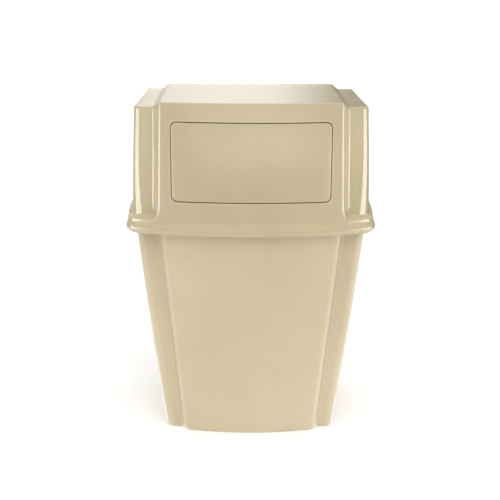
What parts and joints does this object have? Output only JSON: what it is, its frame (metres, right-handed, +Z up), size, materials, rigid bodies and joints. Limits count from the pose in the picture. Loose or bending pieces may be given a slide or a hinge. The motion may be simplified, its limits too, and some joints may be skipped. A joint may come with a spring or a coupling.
{
  "type": "trash can",
  "caption": "Flat-backed hooded trash can with a bowed front, a self-closing push door in its lift-off hood and a tapered container.",
  "frame": {"origin": "centre of the bounding box's bottom face: on the floor, midway between the wall plane and the rim's foremost point", "axes": "+Z up, -Y the front with the door, +Y the wall side, +X to the viewer's right"},
  "size_m": [0.433, 0.3066, 0.617],
  "materials": {
    "container_plastic": "satin moulded plastic, beige",
    "hood_plastic": "satin moulded plastic, beige",
    "door_plastic": "satin moulded plastic, beige, fine texture",
    "zinc_steel": "zinc-plated steel",
    "spring_steel": "drawn spring wire",
    "stop_rubber": "black rubber"
  },
  "bodies": {
    "container": {"container": "container_plastic"},
    "hood": {"hood_shell": "hood_plastic", "hinge_rod": "zinc_steel", "hinge_bracket_left": "zinc_steel", "hinge_bracket_right": "zinc_steel", "bracket_screws": "zinc_steel", "torsion_spring_left": "spring_steel", "torsion_spring_right": "spring_steel", "rod_clip_left": "zinc_steel", "rod_clip_right": "zinc_steel"},
    "door": {"door_panel": "door_plastic", "stop_pad_left": "stop_rubber", "stop_pad_right": "stop_rubber"}
  },
  "joints": [
    {"name": "hood_lift", "type": "slide", "parent": "container", "child": "hood", "axis": [0, 0, 1], "range_m": [0, 0.15]},
    {"name": "door_swing", "type": "hinge", "parent": "hood", "child": "door", "pos_m": [0, -0.10239, 0.592], "axis": [1, 0, 0], "range_deg": [0, 75], "stiffness_Nm_per_rad": 0.12, "springref_deg": -57.3, "deforming": ["torsion_spring_left", "torsion_spring_right"]}
  ]
}
